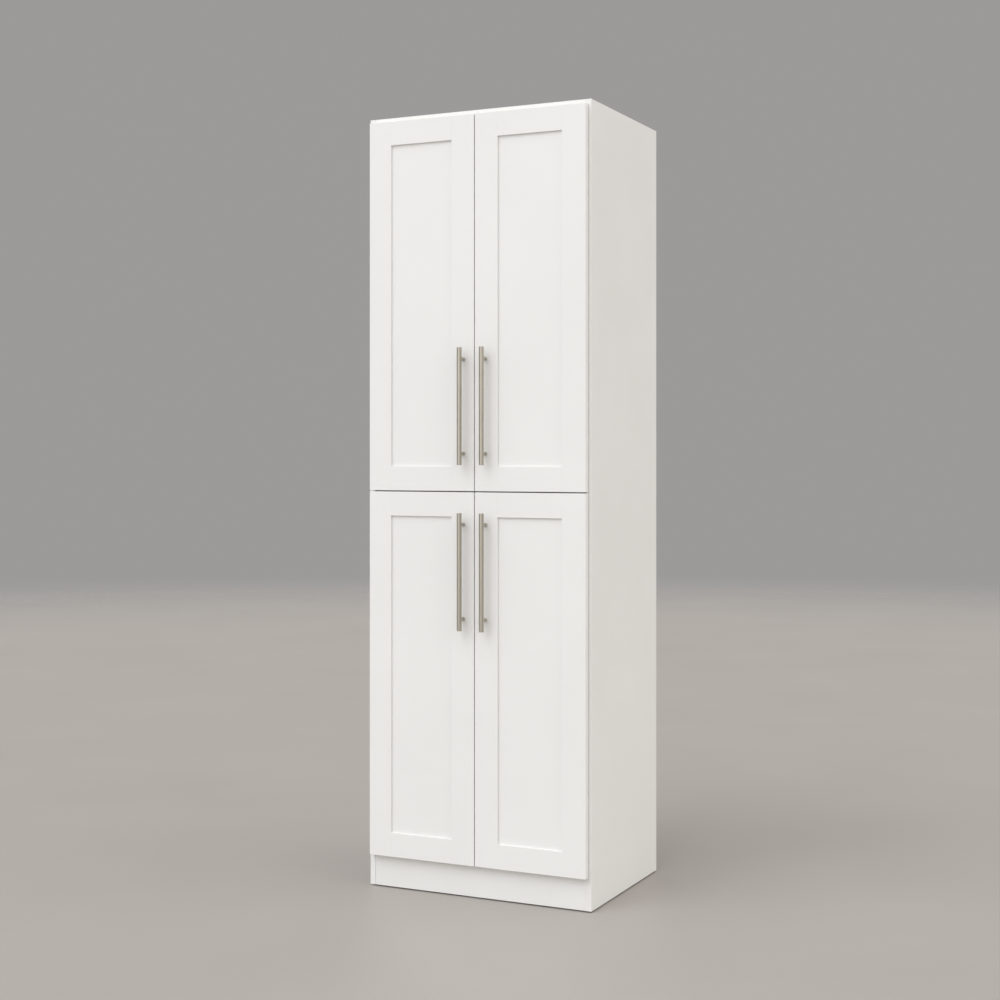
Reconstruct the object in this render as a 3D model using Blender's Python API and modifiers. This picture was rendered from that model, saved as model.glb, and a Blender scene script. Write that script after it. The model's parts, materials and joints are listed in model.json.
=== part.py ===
"""Tall pantry cabinet: a frameless carcass with four five-piece shaker doors on concealed hinges.

Metres, +Z up. The front faces -Y, and the origin is the middle of the footprint, on the floor.
"""
import math

import bmesh
import bpy
from mathutils import Matrix, Vector

# Overall size of the carcass.
HEIGHT = 2.438
WIDTH = 0.762
CARCASS_DEPTH = 0.560

# Carcass boards.
BOARD = 0.018
TOE_HEIGHT = 0.100
TOE_SETBACK = 0.001
BACK_THICKNESS = 0.006
BACK_GROOVE = 0.008
RAIL_HEIGHT = 0.100
MIDDLE_HEIGHT = 1.256
SHELF_SETBACK = 0.020
SHELF_SIDE_PLAY = 0.001
SHELF_BACK_PLAY = 0.004
SHELVES_PER_SECTION = 2
CLEARANCE = 0.0003

# Doors: five-piece frames lying over the carcass front.
DOOR_THICKNESS = 0.020
DOOR_STANDOFF = 0.002
SIDE_REVEAL = 0.0095
TOP_REVEAL = 0.0145
CENTRE_GAP = 0.003
MIDDLE_GAP = 0.0035
STILE_WIDTH = 0.078
RAIL_WIDTH = 0.076
PANEL_RECESS = 0.006
PANEL_THICKNESS = 0.006
PANEL_GROOVE = 0.010
PANEL_PLAY = 0.0015
TENON_SHOULDER = 0.002

# Bar pulls.
BAR_RADIUS = 0.0077
BAR_LENGTH = 0.363
BAR_FROM_DOOR = 0.0283
BAR_END_CHAMFER = 0.0008
BAR_SIDES = 32
POST_RADIUS = 0.006
POST_SPACING = 0.292
POST_SIDES = 24
PULL_X = 0.038
UPPER_PULL_HEIGHT = 1.520
LOWER_PULL_HEIGHT = 1.009

# Concealed hinges: a 35 mm cup sunk in the door, and an arm on a plate on the side panel.
CUP_RADIUS = 0.0175
CUP_DEPTH = 0.0125
CUP_WALL = 0.001
CUP_FLANGE_RADIUS = 0.020
CUP_INSET = 0.021
CUP_SIDES = 32
BORE_DEPTH = 0.013
HINGE_FROM_END = 0.100
ARM_HEIGHT = 0.012
PLATE_FROM_FRONT = 0.037
PLATE_WIDTH = 0.012
PLATE_HEIGHT = 0.050
PLATE_THICKNESS = 0.0025

# Arm in plan: distance in from the side panel's inner face, distance back from the carcass front.
ARM_OUTLINE = [
    (0.0006, 0.022),
    (0.006, 0.022),
    (0.006, 0.014),
    (0.009, 0.008),
    (0.009, -0.005),
    (0.011, -0.011),
    (0.022, -0.011),
    (0.024, -0.006),
    (0.024, 0.004),
    (0.016, 0.018),
    (0.016, 0.060),
    (0.012, 0.066),
    (0.0006, 0.066),
]

# Places worked out from the sizes above.
TOTAL_DEPTH = CARCASS_DEPTH + DOOR_STANDOFF + DOOR_THICKNESS + BAR_FROM_DOOR + BAR_RADIUS
BACK_Y = TOTAL_DEPTH / 2
FRONT_Y = BACK_Y - CARCASS_DEPTH
DOOR_BACK_Y = FRONT_Y - DOOR_STANDOFF
DOOR_FRONT_Y = DOOR_BACK_Y - DOOR_THICKNESS
BAR_Y = DOOR_FRONT_Y - BAR_FROM_DOOR
INNER_X = WIDTH / 2 - BOARD
DOOR_EDGE_X = WIDTH / 2 - SIDE_REVEAL
RAIL_FRONT_Y = BACK_Y - BOARD
BACK_PANEL_Y = RAIL_FRONT_Y - CLEARANCE - BACK_THICKNESS
INTERIOR_BACK_Y = BACK_PANEL_Y - CLEARANCE
FLOOR_TOP = TOE_HEIGHT + BOARD
CEILING = HEIGHT - BOARD

SECTIONS = {
    "lower": {
        "door": (TOE_HEIGHT, MIDDLE_HEIGHT - MIDDLE_GAP / 2),
        "interior": (FLOOR_TOP, MIDDLE_HEIGHT - BOARD / 2),
        "pull": LOWER_PULL_HEIGHT,
    },
    "upper": {
        "door": (MIDDLE_HEIGHT + MIDDLE_GAP / 2, HEIGHT - TOP_REVEAL),
        "interior": (MIDDLE_HEIGHT + BOARD / 2, CEILING),
        "pull": UPPER_PULL_HEIGHT,
    },
}
SIDES = {"left": -1, "right": 1}


def clear_scene():
    for item in list(bpy.data.objects):
        bpy.data.objects.remove(item)


def make_collection(name):
    made = bpy.data.collections.new(name)
    bpy.context.scene.collection.children.link(made)
    return made


def make_material(name, colour, roughness, metallic):
    made = bpy.data.materials.new(name)
    made.use_nodes = True
    shader = made.node_tree.nodes["Principled BSDF"]
    shader.inputs["Base Color"].default_value = (*colour, 1.0)
    shader.inputs["Roughness"].default_value = roughness
    shader.inputs["Metallic"].default_value = metallic
    return made


def add_object(name, mesh, place, collection, material=None, parent=None):
    """Link a mesh whose own origin is at the world point `place`."""
    made = bpy.data.objects.new(name, mesh)
    collection.objects.link(made)
    made.location = Vector(place)
    if parent is not None:
        made.parent = parent
        made.location -= parent.location
    if material is not None:
        mesh.materials.append(material)
    return made


def box_mesh(name, size):
    mesh = bpy.data.meshes.new(name)
    shape = bmesh.new()
    bmesh.ops.create_cube(shape, size=1.0)
    bmesh.ops.scale(shape, vec=Vector(size), verts=shape.verts)
    shape.to_mesh(mesh)
    shape.free()
    return mesh


def cylinder_mesh(name, radius, length, sides, axis):
    """A capped cylinder about the origin, along the X, Y or Z axis."""
    turn = {
        "X": Matrix.Rotation(math.pi / 2, 4, "Y"),
        "Y": Matrix.Rotation(math.pi / 2, 4, "X"),
        "Z": Matrix.Identity(4),
    }[axis]
    mesh = bpy.data.meshes.new(name)
    shape = bmesh.new()
    bmesh.ops.create_cone(
        shape,
        cap_ends=True,
        segments=sides,
        radius1=radius,
        radius2=radius,
        depth=length,
        matrix=turn,
    )
    shape.to_mesh(mesh)
    shape.free()
    return mesh


def board(name, low, high, material, parent=None):
    """A square-edged board between two opposite corners in the world."""
    low, high = Vector(low), Vector(high)
    mesh = box_mesh(name, high - low)
    return add_object(name, mesh, (low + high) / 2, parts, material, parent)


def hide_cutter(made):
    made.hide_render = True
    made.display_type = "WIRE"
    return made


def box_cutter(name, low, high):
    low, high = Vector(low), Vector(high)
    mesh = box_mesh(name, high - low)
    return hide_cutter(add_object(name, mesh, (low + high) / 2, cutters))


def combine(target, other, operation):
    """Add a Boolean of `other` to `target`."""
    step = target.modifiers.new(f"{operation.lower()} {other.name}", "BOOLEAN")
    step.operation = operation
    step.solver = "EXACT"
    step.object = other


def ordered(first, second):
    return (first, second) if first < second else (second, first)


# ---------------------------------------------------------------- carcass

def make_side_panel(side, sign):
    x_low, x_high = ordered(sign * INNER_X, sign * WIDTH / 2)
    panel = board(
        f"{side}_side_panel",
        (x_low, FRONT_Y, 0),
        (x_high, BACK_Y, HEIGHT),
        white_board,
    )
    groove_low, groove_high = ordered(
        sign * (INNER_X - BACK_GROOVE), sign * (INNER_X + BACK_GROOVE)
    )
    groove = box_cutter(
        f"{side}_back_groove_cutter",
        (groove_low, BACK_PANEL_Y - CLEARANCE, TOE_HEIGHT - CLEARANCE),
        (groove_high, BACK_PANEL_Y + BACK_THICKNESS + CLEARANCE, HEIGHT + BOARD),
    )
    combine(panel, groove, "DIFFERENCE")


def make_level_board(name, bottom, setback=0):
    """A fixed horizontal board between the side panels, `setback` behind the carcass front."""
    reach = INNER_X - CLEARANCE
    board(
        name,
        (-reach, FRONT_Y + setback, bottom),
        (reach, INTERIOR_BACK_Y, bottom + BOARD),
        white_board,
    )


def make_carcass():
    for side, sign in SIDES.items():
        make_side_panel(side, sign)
    make_level_board("bottom_panel", TOE_HEIGHT)
    make_level_board("middle_fixed_shelf", MIDDLE_HEIGHT - BOARD / 2, SHELF_SETBACK)
    make_level_board("top_panel", CEILING)
    reach = INNER_X - CLEARANCE
    board(
        "toe_kick_board",
        (-reach, FRONT_Y + TOE_SETBACK, 0),
        (reach, FRONT_Y + TOE_SETBACK + BOARD, TOE_HEIGHT - CLEARANCE),
        white_board,
    )
    board(
        "hanging_rail",
        (-reach, RAIL_FRONT_Y, HEIGHT - RAIL_HEIGHT),
        (reach, BACK_Y, HEIGHT),
        white_board,
    )
    back_reach = INNER_X + BACK_GROOVE - CLEARANCE
    board(
        "back_panel",
        (-back_reach, BACK_PANEL_Y, TOE_HEIGHT),
        (back_reach, BACK_PANEL_Y + BACK_THICKNESS, HEIGHT),
        white_board,
    )


def make_adjustable_shelves(section, interior):
    """Loose shelves that divide a section into equal compartments."""
    bottom, top = interior
    compartments = SHELVES_PER_SECTION + 1
    clear = (top - bottom - SHELVES_PER_SECTION * BOARD) / compartments
    reach = INNER_X - SHELF_SIDE_PLAY
    for index in range(SHELVES_PER_SECTION):
        underside = bottom + (index + 1) * clear + index * BOARD
        board(
            f"{section}_adjustable_shelf_{index + 1}",
            (-reach, FRONT_Y + SHELF_SETBACK, underside),
            (reach, INTERIOR_BACK_Y - SHELF_BACK_PLAY, underside + BOARD),
            white_board,
        )


# ---------------------------------------------------------------- doors

def panel_layer(play):
    """Front and back of the door panel, widened by `play` on each face."""
    front = DOOR_FRONT_Y + PANEL_RECESS
    return front - play, front + PANEL_THICKNESS + play


def make_stile(name, x_range, grooved_edge, door, axis):
    """An upright of the door frame. Its groove runs the whole length of its inner edge."""
    bottom, top = door
    x_low, x_high = ordered(*x_range)
    stile = board(
        name, (x_low, DOOR_FRONT_Y, bottom), (x_high, DOOR_BACK_Y, top), white_paint, axis
    )
    front, back = panel_layer(CLEARANCE)
    groove = box_cutter(
        f"{name}_groove_cutter",
        (grooved_edge - PANEL_GROOVE, front, bottom - PANEL_GROOVE),
        (grooved_edge + PANEL_GROOVE, back, top + PANEL_GROOVE),
    )
    combine(stile, groove, "DIFFERENCE")
    return stile


def make_rail(name, x_range, z_range, grooved_edge, axis):
    """A cross piece with a stub tenon at each end, grooved along the edge next to the panel."""
    x_low, x_high = ordered(*x_range)
    bottom, top = z_range
    rail = board(
        name,
        (x_low + CLEARANCE, DOOR_FRONT_Y, bottom),
        (x_high - CLEARANCE, DOOR_BACK_Y, top),
        white_paint,
        axis,
    )
    front, back = panel_layer(0)
    tenon_reach = PANEL_GROOVE - CLEARANCE
    tenon = box_cutter(
        f"{name}_tenon",
        (x_low - tenon_reach, front, bottom + TENON_SHOULDER),
        (x_high + tenon_reach, back, top - TENON_SHOULDER),
    )
    combine(rail, tenon, "UNION")
    front, back = panel_layer(CLEARANCE)
    groove = box_cutter(
        f"{name}_groove_cutter",
        (x_low - 2 * PANEL_GROOVE, front, grooved_edge - PANEL_GROOVE),
        (x_high + 2 * PANEL_GROOVE, back, grooved_edge + PANEL_GROOVE),
    )
    combine(rail, groove, "DIFFERENCE")


def make_door_panel(name, x_range, z_range, axis):
    """The flat panel, which floats in the grooves with a little play."""
    x_low, x_high = ordered(*x_range)
    bottom, top = z_range
    reach = PANEL_GROOVE - PANEL_PLAY
    front, back = panel_layer(0)
    board(
        name,
        (x_low - reach, front, bottom - reach),
        (x_high + reach, back, top + reach),
        white_paint,
        axis,
    )


def make_pull(name, x, height, axis):
    """A round bar on two round posts, made as one solid."""
    bar = add_object(
        name,
        cylinder_mesh(name, BAR_RADIUS, BAR_LENGTH, BAR_SIDES, "Z"),
        (x, BAR_Y, height),
        parts,
        brushed_nickel,
        axis,
    )
    soften = bar.modifiers.new("end chamfer", "BEVEL")
    soften.width = BAR_END_CHAMFER
    soften.segments = 1
    soften.limit_method = "ANGLE"
    soften.angle_limit = math.radians(60)
    post_length = BAR_FROM_DOOR - CLEARANCE
    for place in (-1, 1):
        post = add_object(
            f"{name}_post_{'lower' if place < 0 else 'upper'}",
            cylinder_mesh(name, POST_RADIUS, post_length, POST_SIDES, "Y"),
            (x, BAR_Y + post_length / 2, height + place * POST_SPACING / 2),
            cutters,
        )
        combine(bar, hide_cutter(post), "UNION")


def make_door(section, side, sign, door, pull_height):
    """One five-piece door. Its parent empty stands on the hinge axis, at the outer front corner."""
    name = f"{section}_{side}_door"
    axis = bpy.data.objects.new(f"{name}_axis", None)
    parts.objects.link(axis)
    bottom, top = door
    axis.location = (sign * DOOR_EDGE_X, DOOR_FRONT_Y, bottom)
    outer = sign * DOOR_EDGE_X
    meeting = sign * CENTRE_GAP / 2
    opening = (outer - sign * STILE_WIDTH, meeting + sign * STILE_WIDTH)
    hinge_stile = make_stile(f"{name}_hinge_stile", (outer, opening[0]), opening[0], door, axis)
    make_stile(f"{name}_meeting_stile", (meeting, opening[1]), opening[1], door, axis)
    panel_bottom, panel_top = bottom + RAIL_WIDTH, top - RAIL_WIDTH
    make_rail(f"{name}_bottom_rail", opening, (bottom, panel_bottom), panel_bottom, axis)
    make_rail(f"{name}_top_rail", opening, (panel_top, top), panel_top, axis)
    make_door_panel(f"{name}_panel", opening, (panel_bottom, panel_top), axis)
    make_pull(f"{name}_pull", sign * PULL_X, pull_height, axis)
    return axis, hinge_stile


# ---------------------------------------------------------------- hinges

def cup_mesh(name):
    """A turned cup about +Z, open at the top, with a thin flange round its mouth."""
    inner = CUP_RADIUS - CUP_WALL
    profile = [
        (0, CUP_WALL - CUP_DEPTH),
        (inner, CUP_WALL - CUP_DEPTH),
        (inner, CUP_WALL),
        (CUP_FLANGE_RADIUS, CUP_WALL),
        (CUP_FLANGE_RADIUS, CLEARANCE),
        (CUP_RADIUS, CLEARANCE),
        (CUP_RADIUS, -CUP_DEPTH),
        (0, -CUP_DEPTH),
    ]
    mesh = bpy.data.meshes.new(name)
    shape = bmesh.new()
    corners = [shape.verts.new((radius, 0, height)) for radius, height in profile]
    for start, end in zip(corners, corners[1:]):
        shape.edges.new((start, end))
    shape.to_mesh(mesh)
    shape.free()
    return mesh


def make_cup(name, x, height, stile, axis):
    """A hinge cup in its bore, with its mouth on the back face of the door."""
    cup = add_object(name, cup_mesh(name), (x, DOOR_BACK_Y, height), parts, nickel_plate, axis)
    cup.rotation_euler = (-math.pi / 2, 0, 0)
    turn = cup.modifiers.new("turn", "SCREW")
    turn.axis = "Z"
    turn.steps = CUP_SIDES
    turn.render_steps = CUP_SIDES
    turn.use_merge_vertices = True
    turn.merge_threshold = 0.00005
    bore_length = 2 * BORE_DEPTH
    bore = add_object(
        f"{name}_bore_cutter",
        cylinder_mesh(name, CUP_RADIUS + CLEARANCE, bore_length, CUP_SIDES, "Y"),
        (x, DOOR_BACK_Y - BORE_DEPTH + bore_length / 2, height),
        cutters,
    )
    combine(stile, hide_cutter(bore), "DIFFERENCE")


def outline_object(name, points, thickness):
    """A flat outline in X and Y, given thickness along Z and returned as a mesh object."""
    curve = bpy.data.curves.new(name, "CURVE")
    curve.dimensions = "2D"
    curve.fill_mode = "BOTH"
    curve.extrude = thickness / 2
    spline = curve.splines.new("POLY")
    spline.points.add(len(points) - 1)
    for point, (x, y) in zip(spline.points, points):
        point.co = (x, y, 0, 1)
    spline.use_cyclic_u = True
    flat = bpy.data.objects.new(f"{name}_outline", curve)
    cutters.objects.link(flat)
    bpy.context.view_layer.update()
    solid = bpy.data.meshes.new_from_object(flat.evaluated_get(bpy.context.evaluated_depsgraph_get()))
    bpy.data.objects.remove(flat)
    shape = bmesh.new()
    shape.from_mesh(solid)
    bmesh.ops.remove_doubles(shape, verts=shape.verts, dist=0.00001)
    bmesh.ops.recalc_face_normals(shape, faces=shape.faces)
    shape.to_mesh(solid)
    shape.free()
    return solid


def make_arm(name, sign, height):
    """A cranked hinge arm, one solid with the plate that screws to the side panel."""
    points = [(-sign * inward, back) for inward, back in ARM_OUTLINE]
    place = (sign * INNER_X, FRONT_Y, height)
    arm = add_object(name, outline_object(name, points, ARM_HEIGHT), place, parts, nickel_plate)
    x_low, x_high = ordered(
        sign * (INNER_X - CLEARANCE), sign * (INNER_X - CLEARANCE - PLATE_THICKNESS)
    )
    plate_y = FRONT_Y + PLATE_FROM_FRONT
    plate = box_cutter(
        f"{name}_plate",
        (x_low, plate_y - PLATE_WIDTH / 2, height - PLATE_HEIGHT / 2),
        (x_high, plate_y + PLATE_WIDTH / 2, height + PLATE_HEIGHT / 2),
    )
    combine(arm, plate, "UNION")


def make_hinges(section, side, sign, door, stile, axis):
    bottom, top = door
    heights = {
        "bottom": bottom + HINGE_FROM_END,
        "middle": (bottom + top) / 2,
        "top": top - HINGE_FROM_END,
    }
    for position, height in heights.items():
        name = f"{section}_{side}_{position}_hinge"
        make_cup(f"{name}_cup", sign * (DOOR_EDGE_X - CUP_INSET), height, stile, axis)
        make_arm(f"{name}_arm", sign, height)


# ---------------------------------------------------------------- assembly

clear_scene()
parts = make_collection("pantry_cabinet")
cutters = make_collection("cutters")
white_board = make_material("white melamine board", (0.80, 0.79, 0.76), 0.45, 0.0)
white_paint = make_material("satin white paint", (0.83, 0.82, 0.79), 0.38, 0.0)
brushed_nickel = make_material("brushed nickel", (0.50, 0.47, 0.41), 0.35, 1.0)
nickel_plate = make_material("nickel plate", (0.62, 0.61, 0.58), 0.25, 1.0)

make_carcass()
for section_name, sizes in SECTIONS.items():
    make_adjustable_shelves(section_name, sizes["interior"])
    for side_name, side_sign in SIDES.items():
        door_axis, bored_stile = make_door(
            section_name, side_name, side_sign, sizes["door"], sizes["pull"]
        )
        make_hinges(section_name, side_name, side_sign, sizes["door"], bored_stile, door_axis)
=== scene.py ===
import json
import math

import bmesh
import bpy
from mathutils import Matrix, Vector


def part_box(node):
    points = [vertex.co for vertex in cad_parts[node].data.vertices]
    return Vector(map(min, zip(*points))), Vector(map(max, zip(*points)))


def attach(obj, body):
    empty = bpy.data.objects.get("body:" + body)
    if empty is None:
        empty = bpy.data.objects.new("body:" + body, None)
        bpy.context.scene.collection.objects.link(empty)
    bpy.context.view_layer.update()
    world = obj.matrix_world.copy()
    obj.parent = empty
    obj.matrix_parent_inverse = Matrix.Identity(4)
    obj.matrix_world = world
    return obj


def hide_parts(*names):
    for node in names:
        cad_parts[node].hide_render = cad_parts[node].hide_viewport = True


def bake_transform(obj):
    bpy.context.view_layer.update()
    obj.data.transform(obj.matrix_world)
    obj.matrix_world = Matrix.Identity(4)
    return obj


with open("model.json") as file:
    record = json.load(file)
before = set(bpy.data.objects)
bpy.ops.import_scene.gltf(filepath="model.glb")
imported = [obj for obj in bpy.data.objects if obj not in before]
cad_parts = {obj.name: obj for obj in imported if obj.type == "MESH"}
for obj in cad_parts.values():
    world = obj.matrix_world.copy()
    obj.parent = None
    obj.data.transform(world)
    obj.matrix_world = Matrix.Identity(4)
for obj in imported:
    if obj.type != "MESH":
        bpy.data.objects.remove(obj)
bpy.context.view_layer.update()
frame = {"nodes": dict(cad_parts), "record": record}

# The looks of a tall white pantry cabinet. Places are worked out from the frame's boxes, in metres.

# Camera, measured from the carcass's front right corner at floor level.
CAMERA_TO_THE_RIGHT = 1.916
CAMERA_IN_FRONT = 4.635
CAMERA_HEIGHT = 1.368
CAMERA_AZIMUTH = math.radians(25.59)
CAMERA_LENS = 60.15
CAMERA_SHIFT_DOWN = -0.0445

# Studio.
FLOOR_RADIUS = 14.0
FLOOR_FADE_START = 8.0
FLOOR_DROP = 0.004
FLOOR_DARK = (0.352, 0.324, 0.300)
FLOOR_LIGHT = (0.364, 0.336, 0.311)
BACKDROP = (0.33, 0.325, 0.32)

# The glow all round the cabinet, and the brighter panel in front that its glossy parts mirror.
GLOW_COLOUR = (1.0, 0.987, 0.967)
GLOW_LOW = 0.70
GLOW_HIGH = 1.17
GLOSS_LOW = 0.26
GLOSS_HIGH = 1.15
GLOSS_FACING = (0.06, -0.98, 0.15)
GLOSS_EDGES = (0.30, 0.95)

# The key is a bank of suns, in degrees: azimuths to the right of the front, and the elevation and
# softness of each level.
KEY_AZIMUTHS = {"left": -38, "middle": -8}
KEY_STACK = {"low": (30, 38), "mid": (46, 32), "high": (62, 26)}
KEY_STRENGTH = 0.2535
KEY_COLOUR = (0.901, 0.943, 1.0)
FILL_TOWARDS = (0.95, -0.10, 0.60)
FILL_SOFTNESS = 60
FILL_STRENGTH = 0.668
FILL_COLOUR = (1.0, 0.98, 0.94)

# Where a noise pattern starts and stops counting.
PATTERN_RANGE = (0.30, 0.70)
TONE_STOPS = (0.35, 0.65)

# Mesh work: a cutter's reach past what it cuts, the distance at which points merge, and the angles
# that tell flats from arrises.
CUT_PAST = 0.010
WELD_DISTANCE = 0.00001
FLAT_ANGLE = math.radians(1)
ROUNDED_ANGLE = math.radians(25)
SHARP_ANGLE = math.radians(40)

# Carcass boards and their edge tape.
BOARD_ARRIS = 0.0006
TAPE_THICKNESS = 0.001
TAPE_ARRIS = 0.0004

# Doors.
OUTER_ARRIS = 0.0010
INNER_ARRIS = 0.0004
JOINT_ARRIS = 0.00012
PANEL_ARRIS = 0.0003
GROOVE_DEPTH = 0.010
GROOVE_PLAY = 0.0002
CUP_PLAY = 0.0002

# Bar pulls.
PULL_END_ROUND = 0.0007
POST_RADIUS = 0.006
POST_END_ROUND = 0.0003
POST_SPACING = 0.292
PULL_SCREW_RADIUS = 0.0042
PULL_SCREW_RISE = 0.0021

# Screw heads: the dome's rim as a share of its rise, and the recess as shares of the radius and rise.
SCREW_RIM = 0.35
SCREW_SLOT_HALF_LENGTH = 0.62
SCREW_SLOT_HALF_WIDTH = 0.14
SCREW_SLOT_FLOOR = 0.1

# Hinge cups: the flange's ears stand off the cup's centre, towards the middle of the door.
CUP_BORE_RADIUS = 0.0175
CUP_WALL = 0.0009
CUP_FLANGE_RADIUS = 0.0187
CUP_LIP_RADIUS = 0.0181
CUP_LIP_RISE = 0.0003
CUP_LIP_SHOULDER_SHARE = 0.6
CUP_MOUTH_ROUND = 0.0003
EAR_INWARD = 0.0095
EAR_SPREAD = 0.0225
EAR_RADIUS = 0.0060
CUP_SCREW_RADIUS = 0.0038
CUP_SCREW_RISE = 0.0008

# The rounded corners at the foot of a cup, outside and inside, as (inset, height) points.
CUP_FOOT = ((0.0015, 0), (0.0004, 0.0008), (0, 0.0020))
CUP_HOLLOW = ((0, 0.0028), (0.0006, 0.0015), (0.0018, CUP_WALL))

# Hinge arms, measured inward from the side panel and back from the carcass front.
ARM_ARRIS = 0.0007
ARM_FACE_INWARD = 0.016
ARM_POCKET_BACK = (0.0225, 0.0555)
ARM_POCKET_HALF_HEIGHT = 0.0042
ARM_POCKET_DEPTH = 0.0020
ARM_SCREWS_BACK = (0.0295, 0.0485)
ARM_SCREW_RADIUS = 0.0034
ARM_SCREW_RISE = 0.0016
PLATE_SCREW_BACK = 0.037
PLATE_SCREW_SPREAD = 0.0185
PLATE_SCREW_RADIUS = 0.0045
PLATE_SCREW_RISE = 0.0021
PLATE_FACE_INWARD = 0.0028

# Hinge links: straight straps from the arm's nose into the cup.
LINK_INWARD = (0.0150, 0.0205)
LINK_HALF_HEIGHTS = (0.0046, 0.0030)
LINK_THICKNESS = 0.0016
LINK_BACK = (-0.0132, -0.0104)
LINK_STEPS = 28

# Shelf pins and the rows of holes that they stand in.
PIN_RADIUS = 0.0025
PIN_HOLE_DEPTH = 0.012
PIN_PITCH = 0.032
PIN_HOLES_EACH_WAY = 3
PIN_FROM_FRONT = 0.037
PIN_FROM_BACK = 0.060
PIN_REACH = 0.0085
PIN_END_ROUND = 0.0007
PIN_COLLAR_RADIUS = 0.0040
PIN_COLLAR_RIM = 0.0006
PIN_COLLAR_RISE = 0.0010
PIN_COLLAR_GAP = 0.00005

BODIES = frame["record"]["behaviour"]["bodies"]
BODY_OF = {node: body for body, nodes in BODIES.items() for node in nodes}
SECTIONS = ("lower", "upper")
SIDES = {"left": -1, "right": 1}
HINGE_POSITIONS = ("bottom", "middle", "top")
SHELVES = [node for node in BODIES["carcass"] if "_adjustable_shelf_" in node]


# ---------------------------------------------------------------- node helpers

def new_material(name, roughness=0.4, metallic=0.0):
    """A material with a Principled shader, and its node tree and shader."""
    made = bpy.data.materials.new(name)
    made.use_nodes = True
    tree = made.node_tree
    shader = tree.nodes["Principled BSDF"]
    shader.inputs["Roughness"].default_value = roughness
    shader.inputs["Metallic"].default_value = metallic
    return made, tree, shader


def noise(tree, scale, detail=2.0, stretch=(1, 1, 1)):
    """Noise in the piece's own coordinates. `scale` is in cycles a metre."""
    place = tree.nodes.new("ShaderNodeTexCoord")
    squeeze = tree.nodes.new("ShaderNodeMapping")
    squeeze.inputs["Scale"].default_value = stretch
    grain = tree.nodes.new("ShaderNodeTexNoise")
    grain.inputs["Scale"].default_value = scale
    grain.inputs["Detail"].default_value = detail
    tree.links.new(place.outputs["Object"], squeeze.inputs["Vector"])
    tree.links.new(squeeze.outputs["Vector"], grain.inputs["Vector"])
    return grain.outputs["Fac"]


def ranged(tree, value, source, target, smooth=False):
    """Carry a value from one range over to another, along a line or a smooth step."""
    step = tree.nodes.new("ShaderNodeMapRange")
    if smooth:
        step.interpolation_type = "SMOOTHSTEP"
    step.inputs["From Min"].default_value = source[0]
    step.inputs["From Max"].default_value = source[1]
    step.inputs["To Min"].default_value = target[0]
    step.inputs["To Max"].default_value = target[1]
    tree.links.new(value, step.inputs["Value"])
    return step.outputs["Result"]


def spread(tree, value, low, high):
    """Stretch a noise pattern over a range."""
    return ranged(tree, value, PATTERN_RANGE, (low, high))


def two_tone(tree, value, dark, light):
    """Mix two close colours by a pattern."""
    ramp = tree.nodes.new("ShaderNodeValToRGB")
    for stop, place, colour in zip(ramp.color_ramp.elements, TONE_STOPS, (dark, light)):
        stop.position = place
        stop.color = (*colour, 1)
    tree.links.new(value, ramp.inputs["Fac"])
    return ramp.outputs["Color"]


def bump(tree, shader, height, depth, strength=1.0, below=None):
    """Press a height pattern into the surface. `depth` is in metres."""
    press = tree.nodes.new("ShaderNodeBump")
    press.inputs["Strength"].default_value = strength
    press.inputs["Distance"].default_value = depth
    tree.links.new(height, press.inputs["Height"])
    if below is not None:
        tree.links.new(below, press.inputs["Normal"])
    tree.links.new(press.outputs["Normal"], shader.inputs["Normal"])
    return press.outputs["Normal"]


# ---------------------------------------------------------------- materials

def satin_paint():
    """Sprayed satin lacquer on wood: faint orange peel over a finer stipple."""
    made, tree, shader = new_material("satin white paint")
    tint = two_tone(tree, noise(tree, 2.5, 3), (0.800, 0.794, 0.779), (0.818, 0.812, 0.797))
    tree.links.new(tint, shader.inputs["Base Color"])
    tree.links.new(spread(tree, noise(tree, 9, 3), 0.36, 0.46), shader.inputs["Roughness"])
    peel = bump(tree, shader, noise(tree, 170, 1.5), 0.00005)
    bump(tree, shader, noise(tree, 900, 2), 0.00001, below=peel)
    shader.inputs["Specular IOR Level"].default_value = 0.45
    return made


def melamine():
    """White melamine face: a fine pebbled texture with a dull sheen."""
    made, tree, shader = new_material("white melamine")
    tint = two_tone(tree, noise(tree, 4, 2), (0.795, 0.788, 0.770), (0.812, 0.806, 0.790))
    tree.links.new(tint, shader.inputs["Base Color"])
    tree.links.new(spread(tree, noise(tree, 30, 2), 0.42, 0.50), shader.inputs["Roughness"])
    bump(tree, shader, noise(tree, 700, 3), 0.00003)
    return made


def edge_tape():
    """White plastic edge tape, smoother than the board's faces."""
    made, tree, shader = new_material("white edge tape")
    tint = two_tone(tree, noise(tree, 40, 2), (0.80, 0.793, 0.775), (0.815, 0.808, 0.79))
    tree.links.new(tint, shader.inputs["Base Color"])
    tree.links.new(spread(tree, noise(tree, 60, 2), 0.32, 0.40), shader.inputs["Roughness"])
    bump(tree, shader, noise(tree, 500, 2), 0.00001)
    return made


def brushed_nickel():
    """Satin nickel with fine brush lines along the bar."""
    made, tree, shader = new_material("brushed nickel", metallic=1.0)
    lines = noise(tree, 1, 3, (2400, 2400, 14))
    tint = two_tone(tree, lines, (0.445, 0.41, 0.348), (0.555, 0.52, 0.452))
    tree.links.new(tint, shader.inputs["Base Color"])
    tree.links.new(spread(tree, lines, 0.24, 0.34), shader.inputs["Roughness"])
    bump(tree, shader, lines, 0.00001, 0.6)
    return made


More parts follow.
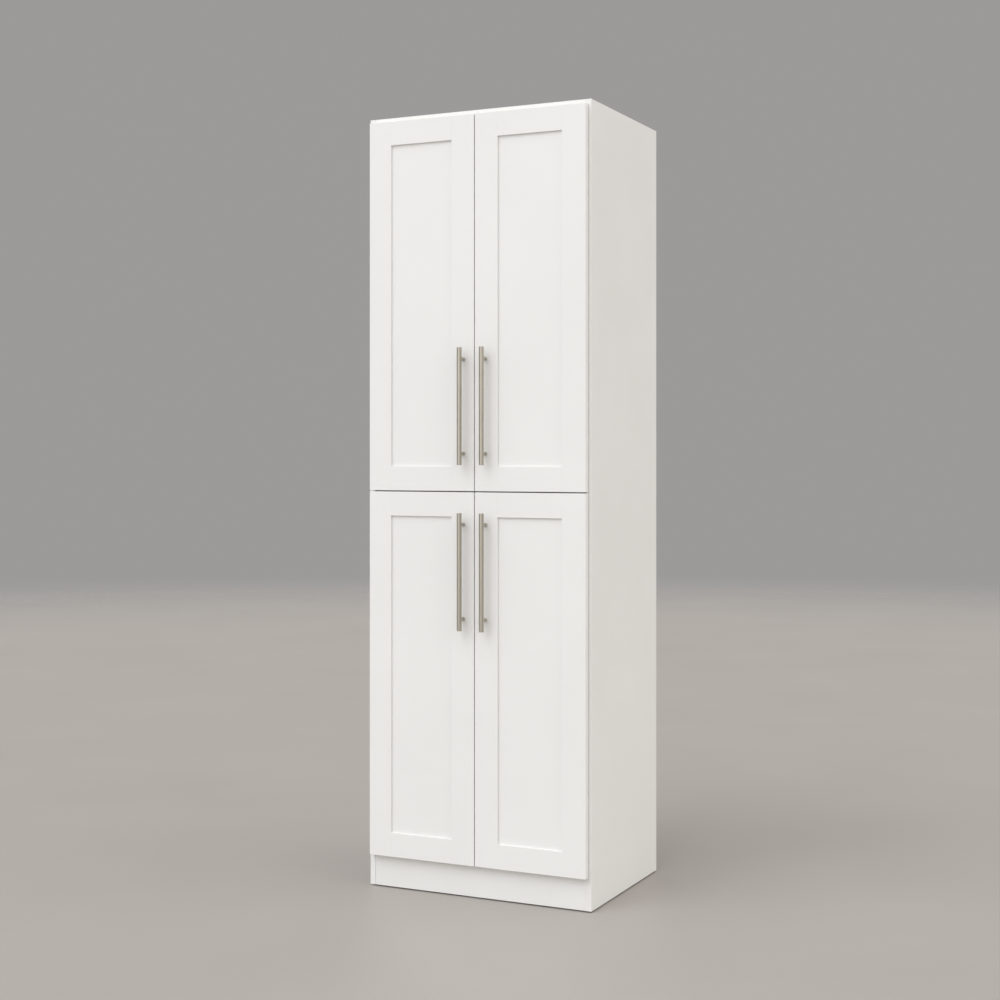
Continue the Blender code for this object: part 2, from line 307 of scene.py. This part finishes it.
def nickel_plate():
    """Bright nickel plating on pressed steel, with faint drawing marks."""
    made, tree, shader = new_material("nickel plate", metallic=1.0)
    marks = noise(tree, 1, 2, (60, 900, 60))
    tint = two_tone(tree, marks, (0.60, 0.59, 0.56), (0.69, 0.68, 0.65))
    tree.links.new(tint, shader.inputs["Base Color"])
    tree.links.new(spread(tree, noise(tree, 120, 2), 0.18, 0.30), shader.inputs["Roughness"])
    bump(tree, shader, marks, 0.00001, 0.5)
    return made


# ---------------------------------------------------------------- shapes

def settle_normals(piece):
    """Smooth the rounded arrises and keep the flats flat."""
    piece.data.shade_smooth()
    piece.data.set_sharp_from_angle(angle=SHARP_ANGLE)
    level = piece.modifiers.new("flat faces", "WEIGHTED_NORMAL")
    level.keep_sharp = True
    level.weight = 100


def add_piece(mesh, material, body, stands_for=()):
    """A finished piece, named after its mesh, that rides on a body and wears the given material."""
    piece = bpy.data.objects.new(mesh.name, mesh)
    bpy.context.scene.collection.objects.link(piece)
    mesh.materials.clear()
    mesh.materials.append(material)
    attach(piece, body)
    if stands_for:
        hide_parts(*stands_for)
    settle_normals(piece)


def temporary(mesh):
    """An object to hang modifiers on, taken away again after use."""
    made = bpy.data.objects.new("temporary", mesh)
    bpy.context.scene.collection.objects.link(made)
    return made


def evaluated_mesh(piece, name):
    """A new mesh with the piece's modifiers applied."""
    bpy.context.view_layer.update()
    graph = bpy.context.evaluated_depsgraph_get()
    mesh = bpy.data.meshes.new_from_object(piece.evaluated_get(graph))
    mesh.name = name
    return mesh


def carved(mesh, tools, operation="DIFFERENCE"):
    """The mesh after a Boolean with each tool mesh."""
    piece = temporary(mesh)
    used = [temporary(tool) for tool in tools]
    for tool in used:
        step = piece.modifiers.new("carve", "BOOLEAN")
        step.operation = operation
        step.solver = "EXACT"
        step.object = tool
    result = evaluated_mesh(piece, mesh.name)
    for spent in (piece, *used):
        bpy.data.objects.remove(spent)
    return result


def box_mesh(name, low, high):
    """A sharp box between two corners."""
    mesh = bpy.data.meshes.new(name)
    shape = bmesh.new()
    bmesh.ops.create_cube(shape, size=1)
    bmesh.ops.scale(shape, vec=high - low, verts=shape.verts)
    bmesh.ops.translate(shape, vec=(low + high) / 2, verts=shape.verts)
    shape.to_mesh(mesh)
    shape.free()
    return mesh


def soft_box(name, low, high, arris_of, steps=3):
    """A box whose arrises are rounded. `arris_of` gives the radius for the edge with that midpoint."""
    mesh = box_mesh(name, low, high)
    radii = []
    for edge in mesh.edges:
        start, end = (mesh.vertices[index].co for index in edge.vertices)
        radii.append(arris_of((start + end) / 2))
    widest = max(radii)
    weights = mesh.attributes.new("bevel_weight_edge", "FLOAT", "EDGE")
    for item, radius in zip(weights.data, radii):
        item.value = radius / widest
    piece = temporary(mesh)
    rounding = piece.modifiers.new("rounding", "BEVEL")
    rounding.limit_method = "WEIGHT"
    rounding.width = widest
    rounding.segments = steps
    result = evaluated_mesh(piece, name)
    bpy.data.objects.remove(piece)
    return result


def even_soft_box(name, low, high, radius, steps):
    """A box with the same rounding on every arris."""
    return soft_box(name, low, high, lambda middle: radius, steps)


def cylinder_mesh(name, centre, radius, length, axis, sides=48):
    """A plain cylinder about its centre, along X, Y or Z."""
    turn = {
        "X": Matrix.Rotation(math.pi / 2, 4, "Y"),
        "Y": Matrix.Rotation(math.pi / 2, 4, "X"),
        "Z": Matrix.Identity(4),
    }[axis]
    mesh = bpy.data.meshes.new(name)
    shape = bmesh.new()
    bmesh.ops.create_cone(
        shape,
        cap_ends=True,
        segments=sides,
        radius1=radius,
        radius2=radius,
        depth=length,
        matrix=Matrix.Translation(centre) @ turn,
    )
    shape.to_mesh(mesh)
    shape.free()
    return mesh


def joined(name, meshes):
    """One mesh that holds all of these."""
    shape = bmesh.new()
    for mesh in meshes:
        shape.from_mesh(mesh)
    result = bpy.data.meshes.new(name)
    shape.to_mesh(result)
    shape.free()
    return result


def moved(mesh, matrix):
    """A copy of the mesh in another place."""
    copy = mesh.copy()
    copy.transform(matrix)
    return copy


def facing(centre, direction):
    """Places a mesh made about +Z at `centre`, looking along `direction`."""
    turn = Vector(direction).to_track_quat("Z", "Y").to_matrix().to_4x4()
    return Matrix.Translation(centre) @ turn


def turned_mesh(name, profile, matrix, sides=64):
    """A closed turned shape from (radius, height) points that start and end on the axis."""
    mesh = bpy.data.meshes.new(name)
    shape = bmesh.new()
    rings = []
    for radius, height in profile:
        if radius == 0:
            rings.append([shape.verts.new((0, 0, height))] * sides)
            continue
        ring = []
        for step in range(sides):
            angle = 2 * math.pi * step / sides
            ring.append(shape.verts.new((radius * math.cos(angle), radius * math.sin(angle), height)))
        rings.append(ring)
    for lower, upper in zip(rings, rings[1:]):
        for step in range(sides):
            following = (step + 1) % sides
            corners = [lower[step], lower[following], upper[following], upper[step]]
            shape.faces.new(list(dict.fromkeys(corners)))
    bmesh.ops.recalc_face_normals(shape, faces=shape.faces)
    shape.transform(matrix)
    shape.to_mesh(mesh)
    shape.free()
    return mesh


def rounded_rod(name, radius, start, end, matrix, rounding, sides=64):
    """A rod about +Z whose ends have a small rounding."""
    corner = [(math.radians(turn), 1 - math.cos(math.radians(turn))) for turn in (0, 30, 60, 90)]
    far_end = [
        (radius - rounding * drop, end - rounding + rounding * math.sin(turn))
        for turn, drop in corner
    ]
    near_end = [(edge, start + end - height) for edge, height in reversed(far_end)]
    profile = [(0, start), *near_end, *far_end, (0, end)]
    return turned_mesh(name, profile, matrix, sides)


def hull_mesh(name, points):
    """The convex solid round these points, with flat faces kept whole."""
    mesh = bpy.data.meshes.new(name)
    shape = bmesh.new()
    for point in points:
        shape.verts.new(point)
    bmesh.ops.convex_hull(shape, input=shape.verts)
    loose = [corner for corner in shape.verts if not corner.link_faces]
    bmesh.ops.delete(shape, geom=loose, context="VERTS")
    bmesh.ops.dissolve_limit(shape, angle_limit=FLAT_ANGLE, verts=shape.verts, edges=shape.edges)
    bmesh.ops.recalc_face_normals(shape, faces=shape.faces)
    shape.to_mesh(mesh)
    shape.free()
    return mesh


def screw_head(radius, rise):
    """A domed screw head about +Z with a cross recess, sunk a little into the plane it sits on."""
    dome = []
    for turn in (0, 20, 40, 60, 75):
        climb = SCREW_RIM + (1 - SCREW_RIM) * math.sin(math.radians(turn))
        dome.append((radius * math.cos(math.radians(turn)), rise * climb))
    head = turned_mesh("screw", [(0, -rise), (radius, -rise), *dome, (0, rise)], Matrix(), 32)
    long_half = radius * SCREW_SLOT_HALF_LENGTH
    short_half = radius * SCREW_SLOT_HALF_WIDTH
    slots = []
    for across, along in ((long_half, short_half), (short_half, long_half)):
        low = Vector((-across, -along, rise * SCREW_SLOT_FLOOR))
        high = Vector((across, along, rise * 2))
        slots.append(box_mesh("slot", low, high))
    return carved(head, slots)


def softened_node(node, radius):
    """A CAD node's own shape with its corners rounded."""
    mesh = frame["nodes"][node].data.copy()
    shape = bmesh.new()
    shape.from_mesh(mesh)
    bmesh.ops.remove_doubles(shape, verts=shape.verts, dist=WELD_DISTANCE)
    bmesh.ops.dissolve_limit(shape, angle_limit=FLAT_ANGLE, verts=shape.verts, edges=shape.edges)
    shape.to_mesh(mesh)
    shape.free()
    piece = temporary(mesh)
    rounding = piece.modifiers.new("rounding", "BEVEL")
    rounding.limit_method = "ANGLE"
    rounding.angle_limit = ROUNDED_ANGLE
    rounding.width = radius
    rounding.segments = 3
    result = evaluated_mesh(piece, f"{node}_softened")
    bpy.data.objects.remove(piece)
    return result


# ---------------------------------------------------------------- camera and studio

def make_camera():
    """A level camera in front of the cabinet and to its right."""
    corner_low, corner_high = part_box("right_side_panel")
    camera = bpy.data.objects.new("camera", bpy.data.cameras.new("camera"))
    bpy.context.scene.collection.objects.link(camera)
    camera.location = (
        corner_high.x + CAMERA_TO_THE_RIGHT,
        corner_low.y - CAMERA_IN_FRONT,
        CAMERA_HEIGHT,
    )
    camera.rotation_euler = (math.pi / 2, 0, CAMERA_AZIMUTH)
    camera.data.lens = CAMERA_LENS
    camera.data.shift_y = CAMERA_SHIFT_DOWN
    bpy.context.scene.camera = camera


def make_floor():
    """A pale floor that fades away towards its rim.

    It lies a hair below the cabinet's feet, so that a thin line of shade shows along them.
    """
    mesh = bpy.data.meshes.new("studio_floor")
    shape = bmesh.new()
    bmesh.ops.create_circle(shape, cap_ends=True, segments=128, radius=FLOOR_RADIUS)
    shape.to_mesh(mesh)
    shape.free()
    floor = bpy.data.objects.new("studio_floor", mesh)
    bpy.context.scene.collection.objects.link(floor)
    floor.location.z = -FLOOR_DROP
    made, tree, shader = new_material("pale floor", roughness=0.5)
    tint = two_tone(tree, noise(tree, 1.3, 5), FLOOR_DARK, FLOOR_LIGHT)
    tree.links.new(tint, shader.inputs["Base Color"])
    place = tree.nodes.new("ShaderNodeTexCoord")
    distance = tree.nodes.new("ShaderNodeVectorMath")
    distance.operation = "LENGTH"
    tree.links.new(place.outputs["Object"], distance.inputs[0])
    fade_range = (FLOOR_FADE_START, FLOOR_RADIUS)
    fade = ranged(tree, distance.outputs["Value"], fade_range, (1, 0), smooth=True)
    tree.links.new(fade, shader.inputs["Alpha"])
    floor.data.materials.append(made)


def add_sun(name, towards_light, softness, strength, colour):
    """Even light from a large distant source. `towards_light` points from the cabinet to it."""
    data = bpy.data.lights.new(name, "SUN")
    data.energy = strength
    data.angle = softness
    data.color = colour
    lamp = bpy.data.objects.new(name, data)
    bpy.context.scene.collection.objects.link(lamp)
    lamp.rotation_euler = Vector(towards_light).to_track_quat("Z", "Y").to_euler()


def background(tree, colour):
    """A background of one colour."""
    made = tree.nodes.new("ShaderNodeBackground")
    made.inputs["Color"].default_value = (*colour, 1)
    return made


def glowing(tree, strength):
    """The glow's colour at a strength that another node works out."""
    made = background(tree, GLOW_COLOUR)
    tree.links.new(strength, made.inputs["Strength"])
    return made.outputs["Background"]


def for_ray(tree, is_that_kind, others, that_kind):
    """Show one kind of ray its own shader, and all the others another."""
    pick = tree.nodes.new("ShaderNodeMixShader")
    tree.links.new(is_that_kind, pick.inputs["Fac"])
    tree.links.new(others, pick.inputs[1])
    tree.links.new(that_kind, pick.inputs[2])
    return pick.outputs["Shader"]


def make_world():
    """One tone behind the cabinet, a glow that lights it and a panel that it mirrors."""
    world = bpy.data.worlds.new("studio")
    bpy.context.scene.world = world
    world.use_nodes = True
    tree = world.node_tree
    tree.nodes.clear()
    place = tree.nodes.new("ShaderNodeTexCoord")
    split = tree.nodes.new("ShaderNodeSeparateXYZ")
    tree.links.new(place.outputs["Generated"], split.inputs["Vector"])
    glow_strength = ranged(tree, split.outputs["Z"], (0, 1), (GLOW_LOW, GLOW_HIGH))
    facing_front = tree.nodes.new("ShaderNodeVectorMath")
    facing_front.operation = "DOT_PRODUCT"
    facing_front.inputs[1].default_value = Vector(GLOSS_FACING).normalized()
    tree.links.new(place.outputs["Generated"], facing_front.inputs[0])
    frontness = facing_front.outputs["Value"]
    panel_strength = ranged(tree, frontness, GLOSS_EDGES, (GLOSS_LOW, GLOSS_HIGH), smooth=True)
    glow = glowing(tree, glow_strength)
    panel = glowing(tree, panel_strength)
    backdrop = background(tree, BACKDROP).outputs["Background"]
    ray = tree.nodes.new("ShaderNodeLightPath")
    lit = for_ray(tree, ray.outputs["Is Glossy Ray"], glow, panel)
    seen = for_ray(tree, ray.outputs["Is Camera Ray"], lit, backdrop)
    out = tree.nodes.new("ShaderNodeOutputWorld")
    tree.links.new(seen, out.inputs["Surface"])


def make_key():
    """A bank of soft suns in front, which together make one large light."""
    for side, azimuth in KEY_AZIMUTHS.items():
        for level, (elevation, softness) in KEY_STACK.items():
            flat = math.cos(math.radians(elevation))
            towards_key = (
                math.sin(math.radians(azimuth)) * flat,
                -math.cos(math.radians(azimuth)) * flat,
                math.sin(math.radians(elevation)),
            )
            name = f"key_{side}_{level}"
            add_sun(name, towards_key, math.radians(softness), KEY_STRENGTH, KEY_COLOUR)


def make_studio():
    """The floor, the glow, the key and a fill from the right."""
    make_floor()
    make_world()
    make_key()
    add_sun("fill", FILL_TOWARDS, math.radians(FILL_SOFTNESS), FILL_STRENGTH, FILL_COLOUR)
    bpy.context.scene.view_settings.view_transform = "Standard"
    bpy.context.scene.view_settings.look = "None"


# ---------------------------------------------------------------- carcass

def finish_board(node):
    """A board without edge tape."""
    low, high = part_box(node)
    mesh = even_soft_box(f"{node}_finished", low, high, BOARD_ARRIS, 2)
    add_piece(mesh, melamine_look, BODY_OF[node], (node,))


def tape_front(node, cutters=()):
    """Split a board into its core and the tape on its front edge."""
    low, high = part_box(node)
    seam = low.y + TAPE_THICKNESS
    core = even_soft_box(f"{node}_core", Vector((low.x, seam, low.z)), high, BOARD_ARRIS, 2)
    if cutters:
        core = carved(core, cutters)
    add_piece(core, melamine_look, BODY_OF[node], (node,))
    strip = soft_box(
        f"{node}_edge_tape",
        low,
        Vector((high.x, seam, high.z)),
        lambda middle: TAPE_ARRIS if middle.y < seam - TAPE_THICKNESS / 4 else JOINT_ARRIS,
        2,
    )
    add_piece(strip, edge_tape_look, BODY_OF[node])


def pin_rows():
    """The two front-to-back places of a shelf's pins."""
    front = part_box("left_side_panel")[0].y
    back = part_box("back_panel")[0].y
    return front + PIN_FROM_FRONT, back - PIN_FROM_BACK


def pin_height(shelf):
    """The height of the pins that a shelf lies on."""
    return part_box(shelf)[0].z - PIN_RADIUS


def side_cutters(node):
    """The groove for the back panel and the shelf-pin holes of one side panel."""
    low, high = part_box(node)
    side = -1 if high.x < 0 else 1
    inner = low.x if side > 0 else high.x
    back_low, back_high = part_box("back_panel")
    mouth = inner - side * CUT_PAST
    groove_end = back_high.x if side > 0 else back_low.x
    groove = box_mesh(
        "groove",
        Vector((min(mouth, groove_end), back_low.y - GROOVE_PLAY, back_low.z)),
        Vector((max(mouth, groove_end), back_high.y + GROOVE_PLAY, high.z + CUT_PAST)),
    )
    holes = []
    for shelf in SHELVES:
        for step in range(-PIN_HOLES_EACH_WAY, PIN_HOLES_EACH_WAY + 1):
            height = pin_height(shelf) + step * PIN_PITCH
            for depth in pin_rows():
                place = Vector((inner, depth, height))
                holes.append(cylinder_mesh("hole", place, PIN_RADIUS, 2 * PIN_HOLE_DEPTH, "X", 24))
    return [groove, joined("holes", holes)]


def finish_pins(shelf):
    """The four pins that hold up one adjustable shelf."""
    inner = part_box("right_side_panel")[0].x
    collar = [
        (0, 0),
        (PIN_COLLAR_RADIUS, 0),
        (PIN_COLLAR_RADIUS, PIN_COLLAR_RIM),
        (0, PIN_COLLAR_RISE),
    ]
    clear_of_board = Matrix.Translation((0, 0, PIN_COLLAR_GAP))
    pins = []
    for side in SIDES.values():
        for depth in pin_rows():
            place = facing((side * inner, depth, pin_height(shelf)), (-side, 0, 0))
            rod = rounded_rod("pin", PIN_RADIUS, -PIN_REACH, PIN_REACH, place, PIN_END_ROUND, 24)
            pins += [rod, turned_mesh("collar", collar, place @ clear_of_board, 24)]
    mesh = joined(f"{shelf}_pins", pins)
    add_piece(mesh, plate_look, "carcass")


def finish_carcass():
    """The boards and the shelf pins. The hinge arms on the side panels are made with their doors."""
    for node in BODIES["carcass"]:
        if node.endswith("_arm"):
            continue
        if node in ("back_panel", "hanging_rail", "toe_kick_board"):
            finish_board(node)
        elif node.endswith("_side_panel"):
            tape_front(node, side_cutters(node))
        else:
            tape_front(node)
    for shelf in SHELVES:
        finish_pins(shelf)


# ---------------------------------------------------------------- doors

def finish_stile(node, opening_x, panel_box, bores=()):
    """An upright with a stopped groove for the panel and a bore for each hinge cup."""
    low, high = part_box(node)

    def arris(middle):
        if abs(middle.x - opening_x) < JOINT_ARRIS:
            return INNER_ARRIS
        return OUTER_ARRIS

    mesh = soft_box(f"{node}_painted", low, high, arris)
    panel_low, panel_high = panel_box
    groove = box_mesh(
        "groove",
        Vector((opening_x - GROOVE_DEPTH, panel_low.y - GROOVE_PLAY, panel_low.z)),
        Vector((opening_x + GROOVE_DEPTH, panel_high.y + GROOVE_PLAY, panel_high.z)),
    )
    mesh = carved(mesh, [groove, *bores])
    add_piece(mesh, paint_look, BODY_OF[node], (node,))


def finish_rail(node, opening_z, opening_x, panel_box):
    """A cross piece that butts between the stiles, grooved along its inner edge."""
    low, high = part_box(node)
    low.x, high.x = opening_x

    def arris(middle):
        if min(abs(middle.x - low.x), abs(middle.x - high.x)) < JOINT_ARRIS:
            return JOINT_ARRIS
        if abs(middle.z - opening_z) < JOINT_ARRIS:
            return INNER_ARRIS
        return OUTER_ARRIS

    mesh = soft_box(f"{node}_painted", low, high, arris)
    panel_low, panel_high = panel_box
    groove = box_mesh(
        "groove",
        Vector((low.x - GROOVE_DEPTH, panel_low.y - GROOVE_PLAY, opening_z - GROOVE_DEPTH)),
        Vector((high.x + GROOVE_DEPTH, panel_high.y + GROOVE_PLAY, opening_z + GROOVE_DEPTH)),
    )
    mesh = carved(mesh, [groove])
    add_piece(mesh, paint_look, BODY_OF[node], (node,))


def hinge_names(door):
    """The names of a door's three hinges."""
    return [f"{door[:-len('_door')]}_{position}_hinge" for position in HINGE_POSITIONS]


def cup_centre(hinge, door):
    """The middle of a cup's mouth, on the back face of the door."""
    low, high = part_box(f"{hinge}_cup")
    centre = (low + high) / 2
    centre.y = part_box(f"{door}_hinge_stile")[1].y
    return centre


def cup_bores(door):
    """One bore cutter for each hinge cup of a door."""
    bores = []
    for hinge in hinge_names(door):
        centre = cup_centre(hinge, door)
        depth = centre.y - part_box(f"{hinge}_cup")[0].y + CUP_PLAY
        bores.append(cylinder_mesh("bore", centre, CUP_BORE_RADIUS + CUP_PLAY, 2 * depth, "Y"))
    return bores


def finish_door(door, sign):
    """A door's five pieces, whose grooves run round the opening between the stiles and rails."""
    panel_node = f"{door}_panel"
    panel_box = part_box(panel_node)
    hinge_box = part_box(f"{door}_hinge_stile")
    meeting_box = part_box(f"{door}_meeting_stile")
    outer_x = hinge_box[0].x if sign > 0 else hinge_box[1].x
    inner_x = meeting_box[1].x if sign > 0 else meeting_box[0].x
    finish_stile(f"{door}_hinge_stile", outer_x, panel_box, cup_bores(door))
    finish_stile(f"{door}_meeting_stile", inner_x, panel_box)
    opening_x = (min(outer_x, inner_x), max(outer_x, inner_x))
    finish_rail(f"{door}_bottom_rail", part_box(f"{door}_bottom_rail")[1].z, opening_x, panel_box)
    finish_rail(f"{door}_top_rail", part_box(f"{door}_top_rail")[0].z, opening_x, panel_box)
    mesh = even_soft_box(f"{panel_node}_painted", *panel_box, PANEL_ARRIS, 1)
    add_piece(mesh, paint_look, door, (panel_node,))


# ---------------------------------------------------------------- hardware

def finish_pull(door):
    """A round bar on two posts, and the two screws that hold it from behind the door."""
    node = f"{door}_pull"
    low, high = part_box(node)
    stile_low, stile_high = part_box(f"{door}_meeting_stile")
    radius = (high.x - low.x) / 2
    centre = (low + high) / 2
    bar_axis = low.y + radius
    bar = rounded_rod(
        f"{node}_brushed",
        radius,
        low.z,
        high.z,
        Matrix.Translation((centre.x, bar_axis, 0)),
        PULL_END_ROUND,
    )
    posts = []
    screws = []
    for step in (-1, 1):
        height = centre.z + step * POST_SPACING / 2
        root = Vector((centre.x, stile_low.y, height))
        length = stile_low.y - bar_axis
        stand = facing(root, (0, -1, 0))
        posts.append(rounded_rod("post", POST_RADIUS, 0, length, stand, POST_END_ROUND, 48))
        back = Vector((centre.x, stile_high.y, height))
        screws.append(moved(pull_screw, facing(back, (0, 1, 0))))
    mesh = carved(bar, posts, "UNION")
    add_piece(mesh, nickel_look, door, (node,))
    mesh = joined(f"{node}_screws", screws)
    add_piece(mesh, plate_look, door)


def circle_points(centre_x, centre_z, radius, heights, sides=40):
    """Points round a circle, once at each height along Y."""
    points = []
    for step in range(sides):
        angle = 2 * math.pi * step / sides
        for height in heights:
            points.append(
                (centre_x + radius * math.cos(angle), height, centre_z + radius * math.sin(angle))
            )
    return points


def finish_cup(hinge, door, sign):
    """A pressed cup with an eared flange and two screws."""
    node = f"{hinge}_cup"
    centre = cup_centre(hinge, door)
    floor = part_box(node)[0].y
    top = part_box(node)[1].y
    ear_x = centre.x - sign * EAR_INWARD
    layers = (centre.y, top)
    outline = circle_points(centre.x, centre.z, CUP_FLANGE_RADIUS, layers)
    for step in (-1, 1):
        outline += circle_points(ear_x, centre.z + step * EAR_SPREAD, EAR_RADIUS, layers)
    inner = CUP_BORE_RADIUS - CUP_WALL
    mouth = cylinder_mesh("mouth", centre, inner + CUP_WALL / 2, 2 * CUT_PAST, "Y", 64)
    flange = carved(hull_mesh("flange", outline), [mouth])
    rise = top - centre.y
    depth = centre.y - floor
    lip_shoulder = rise + CUP_LIP_RISE * CUP_LIP_SHOULDER_SHARE
    profile = [
        (0, -depth),
        *((CUP_BORE_RADIUS - inset, height - depth) for inset, height in CUP_FOOT),
        (CUP_BORE_RADIUS, 0),
        (CUP_BORE_RADIUS, rise / 2),
        (CUP_LIP_RADIUS, rise),
        (CUP_LIP_RADIUS, lip_shoulder),
        (CUP_BORE_RADIUS, rise + CUP_LIP_RISE),
        (inner + CUP_MOUTH_ROUND, lip_shoulder),
        (inner, rise / 2),
        *((inner - inset, height - depth) for inset, height in CUP_HOLLOW),
        (0, CUP_WALL - depth),
    ]
    bowl = turned_mesh("bowl", profile, facing(centre, (0, 1, 0)))
    screws = []
    for step in (-1, 1):
        place = Vector((ear_x, top, centre.z + step * EAR_SPREAD))
        screws.append(moved(cup_screw, facing(place, (0, 1, 0))))
    mesh = joined(f"{node}_plated", [flange, bowl, *screws])
    add_piece(mesh, plate_look, door, (node,))


def arm_place(hinge, sign):
    """Where a hinge arm starts: the side panel's inner face, the carcass front and mid height."""
    low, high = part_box(f"{hinge}_arm")
    panel_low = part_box("right_side_panel")[0]
    return sign * panel_low.x, panel_low.y, (low.z + high.z) / 2


def finish_arm(hinge, sign):
    """A cranked arm on its mounting plate, with adjusting screws and plate screws."""
    node = f"{hinge}_arm"
    panel_x, front, middle = arm_place(hinge, sign)
    arm = softened_node(node, ARM_ARRIS)
    face_x = panel_x - sign * ARM_FACE_INWARD
    pocket_x = sorted((face_x + sign * ARM_POCKET_DEPTH, face_x - sign * ARM_POCKET_DEPTH))
    pocket = box_mesh(
        "pocket",
        Vector((pocket_x[0], front + ARM_POCKET_BACK[0], middle - ARM_POCKET_HALF_HEIGHT)),
        Vector((pocket_x[1], front + ARM_POCKET_BACK[1], middle + ARM_POCKET_HALF_HEIGHT)),
    )
    shapes = [carved(arm, [pocket])]
    for back in ARM_SCREWS_BACK:
        place = Vector((face_x + sign * ARM_POCKET_DEPTH, front + back, middle))
        shapes.append(moved(arm_screw, facing(place, (-sign, 0, 0))))
    plate_x = panel_x - sign * PLATE_FACE_INWARD
    for step in (-1, 1):
        place = Vector((plate_x, front + PLATE_SCREW_BACK, middle + step * PLATE_SCREW_SPREAD))
        shapes.append(moved(plate_screw, facing(place, (-sign, 0, 0))))
    mesh = joined(f"{node}_plated", shapes)
    add_piece(mesh, plate_look, "carcass", (node,))


def strap_mesh(low, high, steps):
    """A strap along Y, cut across its length in even steps."""
    mesh = box_mesh("strap", low, high)
    length = high.y - low.y
    shape = bmesh.new()
    shape.from_mesh(mesh)
    along = [edge for edge in shape.edges if abs((edge.verts[0].co - edge.verts[1].co).y) > length / 2]
    bmesh.ops.subdivide_edges(shape, edges=along, cuts=steps - 1, use_grid_fill=True)
    shape.to_mesh(mesh)
    shape.free()
    return mesh


def finish_links(hinge, sign):
    """Two straight straps from the arm's nose into the cup."""
    panel_x, front, middle = arm_place(hinge, sign)
    cup_end, arm_end = (front + back for back in LINK_BACK)
    straps = []
    for inward, half_height in zip(LINK_INWARD, LINK_HALF_HEIGHTS):
        x = panel_x - sign * inward
        low = Vector((x - LINK_THICKNESS / 2, cup_end, middle - half_height))
        high = Vector((x + LINK_THICKNESS / 2, arm_end, middle + half_height))
        straps.append(strap_mesh(low, high, LINK_STEPS))
    mesh = joined(f"{hinge}_links", straps)
    piece = bpy.data.objects.new(mesh.name, mesh)
    bpy.context.scene.collection.objects.link(piece)
    mesh.materials.append(plate_look)
    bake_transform(piece)


# ---------------------------------------------------------------- assembly

make_camera()
make_studio()
paint_look = satin_paint()
melamine_look = melamine()
edge_tape_look = edge_tape()
nickel_look = brushed_nickel()
plate_look = nickel_plate()

pull_screw = screw_head(PULL_SCREW_RADIUS, PULL_SCREW_RISE)
cup_screw = screw_head(CUP_SCREW_RADIUS, CUP_SCREW_RISE)
arm_screw = screw_head(ARM_SCREW_RADIUS, ARM_SCREW_RISE)
plate_screw = screw_head(PLATE_SCREW_RADIUS, PLATE_SCREW_RISE)

finish_carcass()
for section in SECTIONS:
    for side, sign in SIDES.items():
        door = f"{section}_{side}_door"
        finish_door(door, sign)
        finish_pull(door)
        for hinge in hinge_names(door):
            finish_cup(hinge, door, sign)
            finish_arm(hinge, sign)
            finish_links(hinge, sign)
